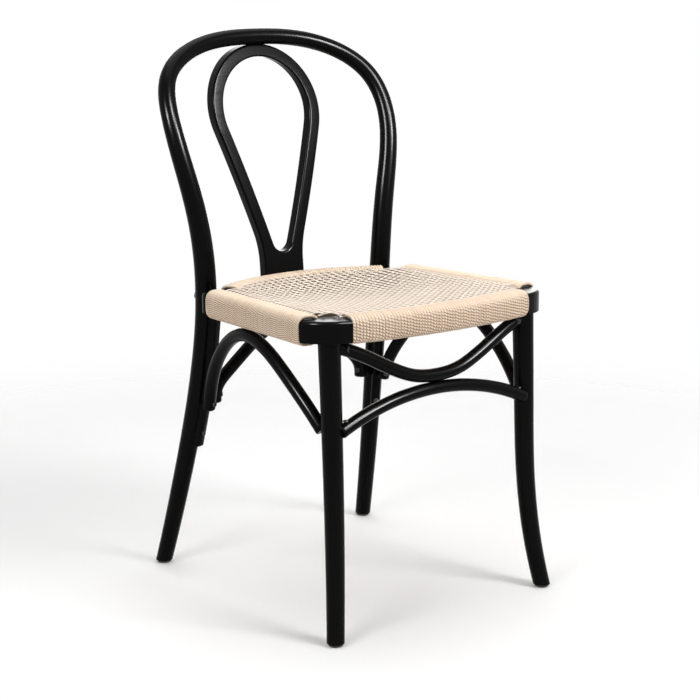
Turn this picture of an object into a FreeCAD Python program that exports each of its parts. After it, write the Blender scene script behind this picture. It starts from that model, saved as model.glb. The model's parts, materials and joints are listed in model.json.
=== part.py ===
import FreeCAD, Part
import math
import os

os.makedirs("parts", exist_ok=True)
Vec = FreeCAD.Vector
UP = Vec(0, 0, 1)
ACROSS = Vec(1, 0, 0)
DEEP = Vec(0, 1, 0)

# Fits
seat_gap = 0.15
tenon_gap = 0.12
cord_gap = 0.1
end_gap = 0.4

# Bent rods are lofted from ring to ring, close together where they bend and where something is let in
bend_step = 8.0
straight_step = 80.0
let_in_step = 9.0

# Underside of the seat ring and half the width of its front rail: heights and widths are set out from these
ring_under = 430.0
front_half = 164.5
seat_tilt = 0.9
tilt_line = -200.0

# Foot glides
glide_dia = 21.0
glide_height = 4.5
glide_edge = 1.5
glide_stem_dia = 6.0
glide_stem_len = 12.0

# Bent back hoop: half of its centre line from the right foot to the crown
hoop_foot = (202.3, 234.3)
hoop_rise = [(187.0, 197.8, -280.0), (171.5, 161.8, -100.0), (169.4, 148.2, 25.0), (182.6, 152.6, 147.0),
             (204.8, 181.6, 281.0), (192.0, 209.0, 334.0), (123.0, 241.5, 381.0), (0, 254.8, 396.0)]
hoop_path = [(*hoop_foot, glide_height)] + [(x, y, ring_under + z) for x, y, z in hoop_rise]
post_points = 6
seat_dia = 33.0
crown_dia = 25.6
hoop_dias = [25.8, 28.6, 31.6, seat_dia, 31.0, 27.0, 26.4, 25.8, crown_dia]

# Front legs
leg_foot = (34.7, -217.7)
leg_rise = [(23.8, -202.7, -340.0), (18.3, -193.3, -250.0), (17.3, -187.3, -130.0)]
leg_head = (17.5, -181.2)
leg_top = ring_under - (leg_head[1] - tilt_line) * math.tan(math.radians(seat_tilt))
leg_path = [(front_half + leg_foot[0], leg_foot[1], glide_height)]
leg_path += [(front_half + x, y, ring_under + z) for x, y, z in leg_rise]
leg_path += [(front_half + leg_head[0], leg_head[1], leg_top)]
leg_dias = [25.6, 27.2, 28.6, 30.2, 32.0]
leg_tenon_dia = 16.0
leg_tenon_len = 22.0
tenon_root = 6.0

# Seat ring, drawn level and then tipped back
seat_pivot = Vec(0, tilt_line, ring_under)
block_height = 31.0
block_depth = 44.0
block_inset = 1.5
block_round = 5.0
front_apex = -231.5
front_radius = 785.0
front_corner = 62.0
side_front = (222.5, -150.0)
side_rear = (203.5, 110.0)
side_start = -163.0
side_end = 97.0
rear_apex = 175.0
rear_radius = 300.0
rear_half = 148.0
rear_corner = (196.0, 119.0)
rear_shoulder = (148.0, 146.5)
rear_corner_round = 14.0

# Rails and the cord wound round them
rail_width = 29.0
rail_height = 32.0
rail_bevel = 9.0
wrap_width = 38.0
wrap_height = 41.0
side_wrap_height = 44.0
wrap_bevel = 14.0
wrap_rise = 16.2
side_drop = 0.8
wrap_mid = ring_under + wrap_rise
side_mid = wrap_mid - side_drop
tenon_width = 13.0
tenon_height = 15.0
tenon_bevel = 3.0
tenon_len = 9.0

# Woven field
weave_thick = 16.0
weave_rise = 32.0
weave_top = ring_under + weave_rise

# Inner back loop: a teardrop of two straight branches under a round top, sawn to a bowed slab
loop_radius = 91.5
loop_rise = 283.0
loop_centre = ring_under + loop_rise
loop_spread = 18.0
loop_width = 20.0
loop_thick = 19.0
loop_edge = 2.5
crotch_radius = 18.9
tongue_half = 37.5
tongue_sweep = 150.0
tongue_rise = 7.0
tongue_foot = ring_under + tongue_rise
loop_bend = [(183.0, -5.0), (209.2, 190.0), (266.5, 400.0)]
loop_lean = [(y, ring_under + z) for y, z in loop_bend]

# Front braces: an arch with an upturned bow resting on it
front_brace_dia = 19.2
front_brace_y = -196.0
arch_drop = 89.6
arch_top = ring_under - arch_drop
arch_radius = 399.0
arch_past = 7.5
arch_half = front_half + arch_past
bow_low = arch_top + front_brace_dia + seat_gap
bow_rise = [(1.003, 58.6), (0.79, 48.4), (0.608, 33.0), (0.438, 17.4), (0.2675, 5.2), (0, 0.0)]
bow_path = [(share * front_half, z) for share, z in bow_rise]
bow_set_back = 11.0

# Side and rear braces
brace_dia = 19.8
side_rise = [(172.0, 141.0, -161.5), (175.5, 129.5, -128.0), (182.0, 107.5, -92.0), (190.5, 62.7, -46.0),
             (196.0, 12.0, -21.4), (199.4, -48.0, -29.0), (198.0, -104.0, -63.5)]
side_nose = (22.5, -171.0, -128.0)
side_path = [(x, y, ring_under + z) for x, y, z in side_rise]
side_path += [(front_half + side_nose[0], side_nose[1], ring_under + side_nose[2])]
rear_brace_y = 166.5
rear_rise = [(143.5, -159.5), (141.0, -140.0), (118.0, -114.0), (75.0, -78.5), (37.0, -53.5), (0, -43.0)]
rear_brace_path = [(x, ring_under + z) for x, z in rear_rise]
rear_ear_height = 30.0
rear_ear_width = 16.0
brace_tenon_dia = 9.0
brace_tenon_len = 15.0

# Battens on the rear legs under the side brace ends
batten_drops = (227.0, 75.0, 12.0)
batten_low, batten_mid, batten_high = [ring_under - drop for drop in batten_drops]
batten_width = 15.0
batten_thick = 9.0
batten_turn = 22.0
batten_bevel = 2.5

# Screws and bolts
screw_dia = 4.0
screw_head_dia = 8.0
screw_head = 2.6
screw_len = 36.0
screw_sink = 0.6
screw_gap = 0.2
bow_screw_in = 2.5
arch_screw_out = 1.5
bow_screw_x = front_half - bow_screw_in
arch_screw_x = front_half + arch_screw_out
screw_drops = (154.0, 149.0, 206.0)
side_screw_z, rear_screw_z, batten_screw_z = [ring_under - drop for drop in screw_drops]
bow_screw_way = (0.6, 0.8)
arch_screw_way = (0.45, 0.89)
side_screw_way = (0.3, 0.95)
rear_screw_way = (0.9, 0.44)
bolt_line = (-0.42, -0.91)
loop_screw_len = 36.0
loop_screw_x = 17.0
loop_screw_rise = 17.0
loop_screw_z = ring_under + loop_screw_rise
bolt_dia = 6.0
bolt_head_dia = 12.0
bolt_head = 4.0
bolt_len = 48.0
bolt_rise = 13.0
bolt_z = ring_under + bolt_rise

# Heights where the legs and posts are bored or carry a batten
joint_drops = (146.0, 128.0, 112.0, 22.0)
leg_joints = [ring_under - drop for drop in joint_drops]
post_joints = (batten_low, batten_screw_z - let_in_step, batten_screw_z + let_in_step, side_screw_z - let_in_step,
               rear_screw_z + let_in_step, batten_mid, batten_high, bolt_z - let_in_step, bolt_z + let_in_step)
post_lean = 12.0


def mirrored(shape):
    return shape.mirror(Vec(0, 0, 0), ACROSS)


def curve_through(points):
    curve = Part.BSplineCurve()
    curve.interpolate([Vec(*p) for p in points])
    return curve


def both_sides(half):
    return list(half) + [(-p[0],) + tuple(p[1:]) for p in reversed(half[:-1])]


def both_ways(value):
    return (value, -value)


def biggest(shape):
    return sorted(shape.Solids, key=lambda s: s.Volume)[-1]


def box(x, y, z):
    return Part.makeBox(x[1] - x[0], y[1] - y[0], z[1] - z[0], Vec(x[0], y[0], z[0]))


def pin(start, way, length, dia):
    return Part.makeCylinder(dia / 2, length, start, way)


def prism(points, low, high):
    corners = [Vec(p[0], p[1], low) for p in points]
    outline = Part.makePolygon(corners + [corners[0]])
    return Part.Face(outline).extrude(UP * (high - low))


def stations(curve, spots):
    fine = 400
    span = curve.LastParameter - curve.FirstParameter
    marks = [curve.parameter(spot) for spot in spots] + [curve.FirstParameter, curve.LastParameter]
    marks.sort()
    chosen = [marks[0]]
    turned = 0.0
    gone = 0.0
    for i in range(1, fine + 1):
        before = curve.FirstParameter + span * (i - 1) / fine
        t = curve.LastParameter if i == fine else curve.FirstParameter + span * i / fine
        passed = [m for m in marks if before < m <= t]
        turned += math.degrees(curve.tangent(t)[0].getAngle(curve.tangent(before)[0]))
        gone += curve.value(t).sub(curve.value(before)).Length
        if passed or turned > bend_step or gone > straight_step:
            chosen.append(passed[-1] if passed else t)
            turned = 0.0
            gone = 0.0
    return chosen


def rod(points, dias, aside, spots=(), ends=(None, None), grow=0.0):
    curve = curve_through(points)
    knots = [curve.parameter(Vec(*p)) for p in points]
    marks = stations(curve, spots)
    rings = []
    for t in marks:
        k = 0
        while k < len(knots) - 2 and t > knots[k + 1]:
            k += 1
        share = (t - knots[k]) / (knots[k + 1] - knots[k])
        dia = dias[k] + (dias[k + 1] - dias[k]) * share
        way = curve.tangent(t)[0]
        if t == marks[0] and ends[0]:
            way = ends[0]
        if t == marks[-1] and ends[1]:
            way = ends[1]
        side = aside - way * aside.dot(way)
        side.normalize()
        ring = Part.Wire(Part.makeCircle(dia / 2 + grow))
        ring.Placement = FreeCAD.Placement(curve.value(t), FreeCAD.Rotation(side, way.cross(side), way, "ZXY"))
        rings.append(ring)
    return Part.makeLoft(rings, True, True)


def bevelled_face(width, height, bevel, middle, across, upward):
    w = width / 2
    h = height / 2
    k = bevel * (1 - math.sqrt(0.5))
    corner = [(w, h - bevel), (w - k, h - k), (w - bevel, h)]
    points = corner + [(-a, b) for a, b in reversed(corner)]
    points = points + [(-a, -b) for a, b in points]
    spots = [middle + across * a + upward * b for a, b in points]
    return Part.Face(Part.makePolygon(spots + [spots[0]]))


def tipped(shape):
    turned = shape.copy()
    turned.rotate(seat_pivot, ACROSS, -seat_tilt)
    return turned


def screw(spot, way, length, dia, head_dia, head):
    seat = spot + way * head
    body = pin(seat, way, length - head, dia).fuse(pin(spot, way, head, head_dia))
    room = pin(seat, way, length - head + end_gap, dia + 2 * screw_gap)
    room = room.fuse(pin(spot - way * head_dia, way, head_dia + head, head_dia + 2 * screw_gap))
    return body, room


def wood_screw(spot, way, length):
    return screw(spot, way, length, screw_dia, screw_head_dia, screw_head)


# Seat ring geometry
front_centre = Vec(0, front_apex + front_radius, 0)
rear_centre = Vec(0, rear_apex - rear_radius, 0)
front_angle = math.degrees(math.asin(front_half / front_radius))
rear_angle = math.degrees(math.asin(rear_half / rear_radius))
side_slope = (side_rear[0] - side_front[0]) / (side_rear[1] - side_front[1])
side_way = Vec(side_slope, 1, 0).normalize()
side_out = Vec(side_way.y, -side_way.x, 0)


def side_point(y, inset):
    return Vec(side_front[0] + side_slope * (y - side_front[1]), y, 0) - side_out * inset


def front_point(angle, inset):
    a = math.radians(angle)
    r = front_radius - inset
    return front_centre + Vec(math.sin(a) * r, -math.cos(a) * r, 0)


def rear_point(angle, inset):
    a = math.radians(angle)
    r = rear_radius - inset
    return rear_centre + Vec(math.sin(a) * r, math.cos(a) * r, 0)


def arc_bar(centre, apex, inward, half_angle, section):
    middle = Vec(0, apex + inward * wrap_width / 2, wrap_mid)
    face = bevelled_face(*section, middle, DEEP, UP)
    face.rotate(centre, UP, -half_angle)
    return face.revolve(centre, UP, 2 * half_angle)


def front_bar(extra, section):
    return arc_bar(front_centre, front_apex, 1, front_angle + math.degrees(extra / front_radius), section)


def rear_bar(extra, section):
    return arc_bar(rear_centre, rear_apex, -1, rear_angle + math.degrees(extra / rear_radius), section)


def side_bar(extra, section):
    start = side_point(side_start, wrap_width / 2) - side_way * extra
    run = side_point(side_end, wrap_width / 2).sub(start).Length + extra
    return bevelled_face(*section, start + UP * side_mid, side_out, UP).extrude(side_way * run)


def grown(section, by):
    return (section[0] + 2 * by, section[1] + 2 * by, section[2] + by)


def rail_set(bar, skin_height):
    wood = (rail_width, rail_height, rail_bevel)
    tongue = (tenon_width, tenon_height, tenon_bevel)
    skin = (wrap_width, skin_height, wrap_bevel)
    rail = bar(0.0, wood).fuse(bar(tenon_len, tongue))
    mortise = bar(tenon_len + end_gap, grown(tongue, tenon_gap))
    wrap = bar(0.0, skin).cut(bar(0.0, grown(wood, cord_gap)))
    swell = bar(0.0, grown(skin, seat_gap))
    return [tipped(s) for s in (rail, mortise, wrap, swell)]


front_rail, front_mortise, front_wrap, front_swell = rail_set(front_bar, wrap_height)
rear_rail, rear_mortise, rear_wrap, rear_swell = rail_set(rear_bar, wrap_height)
right_rail, right_mortise, right_wrap, right_swell = rail_set(side_bar, side_wrap_height)
print("rails done")

# Front corner blocks
beyond = 320.0
wedge_reach = 60.0
low = ring_under - block_height
high = ring_under + 2 * block_height
plate_share = 1.5
plate_angle = front_angle * plate_share
plate_edge = front_point(plate_angle, block_inset)
bow_face = Part.Face(Part.Wire([Part.Arc(front_point(-plate_angle, block_inset), front_point(0, block_inset),
                                         plate_edge).toShape(),
                                Part.makeLine(plate_edge, Vec(plate_edge.x, 0, 0)),
                                Part.makeLine(Vec(plate_edge.x, 0, 0), Vec(-plate_edge.x, 0, 0)),
                                Part.makeLine(Vec(-plate_edge.x, 0, 0), front_point(-plate_angle, block_inset))]))
flank = prism([(0, -beyond), (side_point(-beyond, block_inset).x, -beyond), side_point(0, block_inset), (0, 0)],
              0, block_height)
plate = bow_face.extrude(UP * block_height).common(flank)
upright = [e for e in plate.Edges if abs(e.Length - block_height) < 0.01 and e.BoundBox.YMax < side_start]
upright = [e for e in upright if e.BoundBox.XMin > front_half]
plate = plate.makeFillet(front_corner, upright)


def rim_at(shape, z, wanted):
    rim = []
    for edge in shape.Edges:
        limits = edge.BoundBox
        if limits.ZMax - limits.ZMin < 0.01 and abs(limits.ZMin - z) < 0.01 and wanted(limits.Center):
            rim.append(edge)
    return rim


def on_front(spot):
    return spot.x > block_depth and spot.y < -block_depth


plate = plate.makeFillet(block_round, rim_at(plate, block_height, on_front))
plate.translate(UP * ring_under)


def front_wedge(inset):
    return prism([front_point(front_angle, inset), front_point(front_angle, -wedge_reach), (beyond, -beyond),
                  side_point(side_start, -wedge_reach), side_point(side_start, inset)], low, high)


right_front_block = tipped(plate.common(front_wedge(block_depth)))
right_front_block = right_front_block.cut(front_mortise).cut(right_mortise)

# Front legs with round tenons up into the blocks
leg_curve = curve_through(leg_path)
seat_up = FreeCAD.Rotation(ACROSS, -seat_tilt).multVec(UP)


def on_curve(curve, axis, value):
    below = curve.FirstParameter
    above = curve.LastParameter
    rising = curve.value(above)[axis] > curve.value(below)[axis]
    for i in range(40):
        mid = (below + above) / 2
        if (curve.value(mid)[axis] < value) == rising:
            below = mid
        else:
            above = mid
    return curve.value(below)


def leg_rod(grow):
    spots = [on_curve(leg_curve, 2, z) for z in leg_joints]
    return rod(leg_path, leg_dias, DEEP, spots, (UP, seat_up), grow)


leg_swell = leg_rod(seat_gap)
right_leg = leg_rod(0.0)
tenon_foot = Vec(*leg_path[-1]) - seat_up * tenon_root
right_leg = right_leg.fuse(pin(tenon_foot, seat_up, leg_tenon_len + tenon_root, leg_tenon_dia))
leg_socket = pin(tenon_foot, seat_up, leg_tenon_len + tenon_root + end_gap, leg_tenon_dia + 2 * tenon_gap)
right_front_block = right_front_block.cut(leg_socket)
print("front blocks and legs done")

# Bent back hoop, level at the feet
hoop_points = both_sides(hoop_path)
hoop_all_dias = hoop_dias + hoop_dias[-2::-1]
post_curve = curve_through(hoop_path[:post_points])


def post_at(z):
    return on_curve(post_curve, 2, z)


def hoop_rod(grow):
    posts = [post_at(z) for z in post_joints]
    crown = [Vec(x, *hoop_path[-1][1:]) for x in (let_in_step, -let_in_step)]
    spots = posts + [Vec(-p.x, p.y, p.z) for p in posts] + crown
    return rod(hoop_points, hoop_all_dias, DEEP, spots, (UP, UP * -1), grow)


back_hoop = hoop_rod(0.0)
hoop_swell = hoop_rod(seat_gap)


def post_radius(z):
    k = 0
    while z > hoop_path[k + 1][2]:
        k += 1
    share = (z - hoop_path[k][2]) / (hoop_path[k + 1][2] - hoop_path[k][2])
    return (hoop_dias[k] + (hoop_dias[k + 1] - hoop_dias[k]) * share) / 2


# Rear corner blocks, let in round the posts
rear_outline = [side_point(side_end, block_depth), side_point(side_end, block_inset), rear_corner, rear_shoulder,
                rear_point(rear_angle, block_inset), rear_point(rear_angle, block_depth)]
rear_body = prism(rear_outline, ring_under, ring_under + block_height)
corner_edge = [e for e in rear_body.Edges if e.BoundBox.Center.sub(Vec(*rear_corner, ring_under)).Length < block_height
               and abs(e.Length - block_height) < 0.01]
rear_body = rear_body.makeFillet(rear_corner_round, corner_edge)


def on_rear(spot):
    return spot.x > rear_corner[0] - rear_corner_round and spot.y > side_end + seat_gap


rear_body = rear_body.makeFillet(block_round, rim_at(rear_body, ring_under + block_height, on_rear))
post_foot = post_at(ring_under - block_height / 2)
post_way = (post_at(ring_under + block_height * 1.5) - post_foot).normalize()
post_room = pin(post_foot, post_way, block_height * 2, seat_dia + 2 * seat_gap)
right_rear_block = biggest(tipped(rear_body).cut([rear_mortise, right_mortise, post_room]))
print("hoop and rear blocks done")

# Woven field between the wraps and the corner blocks
field_inset = wrap_width / 2
field_share = 1.2
back_share = 1.7
field_angle = front_angle * field_share
back_angle = rear_angle * back_share


def field(point, angle, far):
    ends = (point(-angle, field_inset), point(angle, field_inset))
    wide = (Vec(-beyond, ends[0].y, 0), Vec(beyond, ends[1].y, 0))
    back = (Vec(-beyond, far, 0), Vec(beyond, far, 0))
    edges = [Part.Arc(ends[0], point(0, field_inset), ends[1]).toShape()]
    loop = [ends[1], wide[1], back[1], back[0], wide[0], ends[0]]
    for a, b in zip(loop, loop[1:]):
        edges.append(Part.makeLine(a, b))
    return Part.Face(Part.Wire(edges)).extrude(UP * weave_thick)


field_side = prism([side_point(-beyond, field_inset), side_point(beyond, field_inset),
                    (-side_point(beyond, field_inset).x, beyond), (-side_point(-beyond, field_inset).x, -beyond)],
                   0, weave_thick)
weave = field(front_point, field_angle, beyond).common(field(rear_point, back_angle, -beyond)).common(field_side)
weave.translate(UP * (weave_top - weave_thick))
weave = tipped(weave)
rear_wedge = prism([side_point(side_end, block_depth + seat_gap), side_point(side_end, -wedge_reach), (beyond, beyond),
                    rear_point(rear_angle, -2 * wedge_reach), rear_point(rear_angle, block_depth + seat_gap)], low, high)
corner_tools = [tipped(front_wedge(block_depth + seat_gap)), tipped(rear_wedge)]
for tool in [right_swell] + corner_tools:
    weave = weave.cut(tool).cut(mirrored(tool))
weave = weave.cut(front_swell).cut(rear_swell)
print("weave done")

# Inner back loop: the teardrop seen from the front, kept where it lies in the bowed slab
spread = math.radians(loop_spread)


def on_branch(across, along):
    joint = Vec(loop_radius * math.cos(spread), 0, loop_centre - loop_radius * math.sin(spread))
    outward = Vec(math.cos(spread), 0, -math.sin(spread))
    downward = Vec(-math.sin(spread), 0, -math.cos(spread))
    return joint + outward * across + downward * along


def flipped(spot):
    return Vec(-spot.x, spot.y, spot.z)


def teardrop(across, foot):
    top = Vec(0, 0, loop_centre + loop_radius + across)
    joint = on_branch(across, 0)
    return [Part.Arc(joint, top, flipped(joint)).toShape(), Part.makeLine(flipped(joint), flipped(foot)),
            Part.makeLine(foot, joint)]


half_width = loop_width / 2
joint_outer = on_branch(half_width, 0)
run_out = (joint_outer.x - tongue_half) / math.sin(spread)
sweep_run = tongue_sweep * math.tan(spread / 2)
sweep_top = on_branch(half_width, run_out - sweep_run)
sweep_knee = on_branch(half_width, run_out)
sweep_foot = sweep_knee - UP * sweep_run
sweep_centre = sweep_foot + ACROSS * tongue_sweep
sweep_mid = sweep_centre + (sweep_knee - sweep_centre).normalize() * tongue_sweep
foot = Vec(tongue_half, 0, tongue_foot)
outer = teardrop(half_width, sweep_top)
for side in (lambda s: s, flipped):
    outer.append(Part.Arc(side(sweep_top), side(sweep_mid), side(sweep_foot)).toShape())
    outer.append(Part.makeLine(side(sweep_foot), side(foot)))
outer.append(Part.makeLine(foot, flipped(foot)))
joint_inner = on_branch(-half_width, 0)
point_z = joint_inner.z - joint_inner.x / math.tan(spread)
crotch_centre = Vec(0, 0, point_z + crotch_radius / math.sin(spread))
crotch_side = crotch_centre + Vec(math.cos(spread), 0, -math.sin(spread)) * crotch_radius
inner = teardrop(-half_width, crotch_side)
inner.append(Part.Arc(crotch_side, crotch_centre - UP * crotch_radius, flipped(crotch_side)).toShape())


def filled(edges):
    return Part.Face(Part.Wire(Part.__sortEdges__(edges)))


def lean_arc(offset):
    points = [Vec(0, y, z) for y, z in loop_lean]
    centre = Part.Arc(*points).toShape().Curve.Center
    moved = []
    for spot in points:
        backward = (centre - spot).normalize()
        backward = backward * math.copysign(1, backward.y)
        moved.append(spot + backward * offset)
    return moved


near = lean_arc(-loop_thick / 2)
far = lean_arc(loop_thick / 2)
slab = filled([Part.Arc(*near).toShape(), Part.makeLine(near[-1], far[-1]), Part.Arc(*far).toShape(),
               Part.makeLine(far[0], near[0])])
slab.translate(ACROSS * -beyond)
back_loop = filled(outer).cut(filled(inner)).Faces[0].extrude(DEEP * beyond).common(slab.extrude(ACROSS * 2 * beyond))
long_edges = [e for e in back_loop.Edges if e.BoundBox.Center.z > tongue_foot + seat_gap and e.Length > loop_thick * 1.1]
back_loop = back_loop.makeChamfer(loop_edge, long_edges)
back_loop = biggest(back_loop.cut(hoop_swell).cut(rear_swell))

# Front braces
bow_half = []
for x, z in bow_path:
    bow_half.append((x, front_brace_y + bow_set_back * (x / bow_path[0][0]) ** 2, bow_low + z))
bow_points = both_sides(bow_half)
arch_steps = 8
arch_points = []
for i in range(arch_steps + 1):
    a = math.asin(arch_half / arch_radius) * (2 * i / arch_steps - 1)
    arch_points.append((arch_radius * math.sin(a), front_brace_y, arch_top - arch_radius * (1 - math.cos(a))))
bow_curve = curve_through(bow_points)
arch_curve = curve_through(arch_points)
bow_spots = [on_curve(bow_curve, 0, x) for x in both_ways(bow_screw_x - let_in_step)]
arch_spots = [on_curve(arch_curve, 0, x) for x in both_ways(arch_screw_x - let_in_step)]
front_upper_brace = rod(bow_points, [front_brace_dia] * len(bow_points), DEEP, bow_spots)
front_lower_brace = rod(arch_points, [front_brace_dia] * len(arch_points), DEEP, arch_spots)
both_legs = [leg_swell, mirrored(leg_swell)]
front_upper_brace = biggest(front_upper_brace.cut(both_legs))
front_lower_brace = biggest(front_lower_brace.cut(both_legs))
print("front braces done")

# Battens along the rear legs
turn = math.radians(batten_turn)
facing = Vec(-math.sin(turn), -math.cos(turn), 0)
along = Vec(math.cos(turn), -math.sin(turn), 0)


def batten_solid(grow):
    rings = []
    for z in [z for z in post_joints if batten_low <= z <= batten_high]:
        core = post_at(z)
        wide = batten_width / 2 + grow
        hollow = post_radius(z) / math.cos(math.radians(post_lean)) + seat_gap - grow
        tip = post_radius(z) + batten_thick + grow
        shoulder = math.sqrt(hollow ** 2 - wide ** 2)
        outline = [(wide, shoulder), (wide, tip - batten_bevel), (wide - batten_bevel, tip),
                   (batten_bevel - wide, tip), (-wide, tip - batten_bevel), (-wide, shoulder)]
        spots = [core + along * a + facing * b for a, b in outline]
        edges = [Part.makeLine(p, q) for p, q in zip(spots, spots[1:])]
        edges.append(Part.Arc(spots[-1], core + facing * hollow, spots[0]).toShape())
        rings.append(Part.Wire(edges))
    return Part.makeLoft(rings, True, True)


right_batten = batten_solid(0.0)
batten_swell = batten_solid(seat_gap)

# Side braces, screwed to the rear legs over the battens and tenoned into the front legs
side_curve = curve_through(side_path)
side_spots = [on_curve(side_curve, 1, side_path[-1][1] + brace_dia)]
side_spots += [on_curve(side_curve, 1, side_path[0][1] - 2 * let_in_step)]
right_brace = rod(side_path, [brace_dia] * len(side_path), ACROSS, side_spots)
end_way = side_curve.tangent(side_curve.LastParameter)[0]
end_spot = Vec(*side_path[-1]) - end_way * brace_dia / 2
right_brace = biggest(right_brace.cut([leg_swell, batten_swell]))
tenon_run = brace_tenon_len + brace_dia / 2
right_brace = right_brace.fuse(pin(end_spot, end_way, tenon_run, brace_tenon_dia))
right_leg = right_leg.cut(pin(end_spot, end_way, tenon_run + end_gap, brace_tenon_dia + 2 * tenon_gap))

# Rear brace between the rear legs
rear_brace_points = both_sides([(x, rear_brace_y, z) for x, z in rear_brace_path])
rear_brace = rod(rear_brace_points, [brace_dia] * len(rear_brace_points), DEEP, (), (UP, UP * -1))
ear_x, ear_z = rear_brace_path[0]
ear = box((ear_x, hoop_path[2][0]), (rear_brace_y - rear_ear_width / 2, rear_brace_y + rear_ear_width / 2),
          (ear_z + seat_gap, ear_z + rear_ear_height))
ear = biggest(ear.cut(hoop_swell))
rear_brace = rear_brace.cut(hoop_swell).fuse(ear).fuse(mirrored(ear))
print("braces done")

# Screws through the brace ends and battens
bow_end = on_curve(bow_curve, 0, bow_screw_x)
arch_end = on_curve(arch_curve, 0, arch_screw_x)
end_slant = 2.0
side_end_spot = Vec(side_path[0][0], side_path[0][1] - end_slant, side_screw_z)
rear_end_spot = Vec(rear_brace_path[1][0] + end_slant / 2, rear_brace_y, rear_screw_z)
batten_spot = post_at(batten_screw_z) + facing * (post_radius(batten_screw_z) + batten_thick)
front_out = front_brace_dia / 2
brace_out = brace_dia / 2
fixings = [(bow_end, Vec(*bow_screw_way, 0), front_out), (arch_end, Vec(*arch_screw_way, 0), front_out),
           (side_end_spot, Vec(*side_screw_way, 0), brace_out), (rear_end_spot, Vec(*rear_screw_way, 0), brace_out),
           (batten_spot, facing * -1, 0.0)]
brace_screws = []
rooms = []
for spot, way, out in fixings:
    way.normalize()
    body, room = wood_screw(spot - way * (out - screw_sink), way, screw_len)
    brace_screws += [body, mirrored(body)]
    rooms += [room, mirrored(room)]
front_upper_brace = front_upper_brace.cut(rooms)
front_lower_brace = front_lower_brace.cut(rooms)
rear_brace = rear_brace.cut(rooms)
back_hoop = back_hoop.cut(rooms)
right_leg = right_leg.cut(rooms)
right_brace = right_brace.cut(rooms)
right_batten = right_batten.cut(rooms)

# Bolts through the posts into the rear blocks
bolt_way = Vec(*bolt_line, 0).normalize()
bolt_spot = post_at(bolt_z) - bolt_way * (post_radius(bolt_z) - screw_sink)
bolt, bolt_room = screw(bolt_spot, bolt_way, bolt_len, bolt_dia, bolt_head_dia, bolt_head)
back_hoop = back_hoop.cut([bolt_room, mirrored(bolt_room)])
right_rear_block = right_rear_block.cut(bolt_room)

# Screws through the tongue into the rear rail, and one up through the loop into the crown
back_arc = Part.Arc(*far).toShape().Curve


def slab_back(z):
    rise = z - back_arc.Center.z
    return back_arc.Center.y + math.copysign(math.sqrt(back_arc.Radius ** 2 - rise ** 2), far[1].y - back_arc.Center.y)


loop_screws = []
loop_rooms = []
for x in (-loop_screw_x, loop_screw_x):
    body, room = wood_screw(Vec(x, slab_back(loop_screw_z) - screw_sink, loop_screw_z), DEEP * -1, loop_screw_len)
    loop_screws.append(body)
    loop_rooms.append(room)
crown_z = loop_centre + loop_radius - half_width
crown_y = slab_back(crown_z) - loop_thick / 2
body, room = wood_screw(Vec(0, crown_y, crown_z + screw_sink), UP, loop_screw_len)
loop_screws.append(body)
loop_rooms.append(room)
back_loop = back_loop.cut(loop_rooms)
rear_wrap = rear_wrap.cut(loop_rooms)
rear_rail = rear_rail.cut(loop_rooms)
back_hoop = back_hoop.cut(loop_rooms)


# Foot glides
def glide(spot):
    pad = pin(Vec(spot.x, spot.y, 0), UP, glide_height, glide_dia)
    pad = pad.makeChamfer(glide_edge, rim_at(pad, 0, lambda centre: True))
    return pad.fuse(pin(Vec(spot.x, spot.y, glide_height), UP, glide_stem_len, glide_stem_dia))


def glide_room(spot):
    return pin(Vec(spot.x, spot.y, 0), UP, glide_height + glide_stem_len + end_gap, glide_stem_dia + 2 * tenon_gap)


front_foot = Vec(*leg_path[0])
rear_foot = Vec(*hoop_path[0])
right_leg = right_leg.cut(glide_room(front_foot))
back_hoop = back_hoop.cut([glide_room(rear_foot), mirrored(glide_room(rear_foot))])
glides = [glide(front_foot), glide(rear_foot)]
glides += [mirrored(g) for g in glides]

pieces = {
    "back_hoop": back_hoop,
    "back_loop": back_loop,
    "front_right_leg": right_leg,
    "front_left_leg": mirrored(right_leg),
    "seat_front_rail": front_rail,
    "seat_rear_rail": rear_rail,
    "seat_right_rail": right_rail,
    "seat_left_rail": mirrored(right_rail),
    "front_right_block": right_front_block,
    "front_left_block": mirrored(right_front_block),
    "rear_right_block": right_rear_block,
    "rear_left_block": mirrored(right_rear_block),
    "front_cord_wrap": front_wrap,
    "rear_cord_wrap": rear_wrap,
    "right_cord_wrap": right_wrap,
    "left_cord_wrap": mirrored(right_wrap),
    "seat_weave": weave,
    "front_upper_brace": front_upper_brace,
    "front_lower_brace": front_lower_brace,
    "right_side_brace": right_brace,
    "left_side_brace": mirrored(right_brace),
    "rear_brace": rear_brace,
    "right_leg_batten": right_batten,
    "left_leg_batten": mirrored(right_batten),
    "foot_glides": Part.makeCompound(glides),
    "brace_screws": Part.makeCompound(brace_screws),
    "seat_bolts": Part.makeCompound([bolt, mirrored(bolt)]),
    "loop_screws": Part.makeCompound(loop_screws),
}
# Origin: on the floor, midway between the front and back limits of the whole chair
front_limit = front_wrap.optimalBoundingBox().YMin
back_limit = max(back_hoop.optimalBoundingBox().YMax, back_loop.optimalBoundingBox().YMax)
depth_mid = (front_limit + back_limit) / 2
print("depth middle", round(depth_mid, 3))
for name, shape in pieces.items():
    shape.translate(Vec(0, -depth_mid, 0))
    shape.exportStep("parts/" + name + ".step")
    print(name, len(shape.Solids), shape.isValid(), round(shape.Volume))
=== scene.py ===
import bpy
import json
import math
import random
from mathutils import Matrix, Vector

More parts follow.
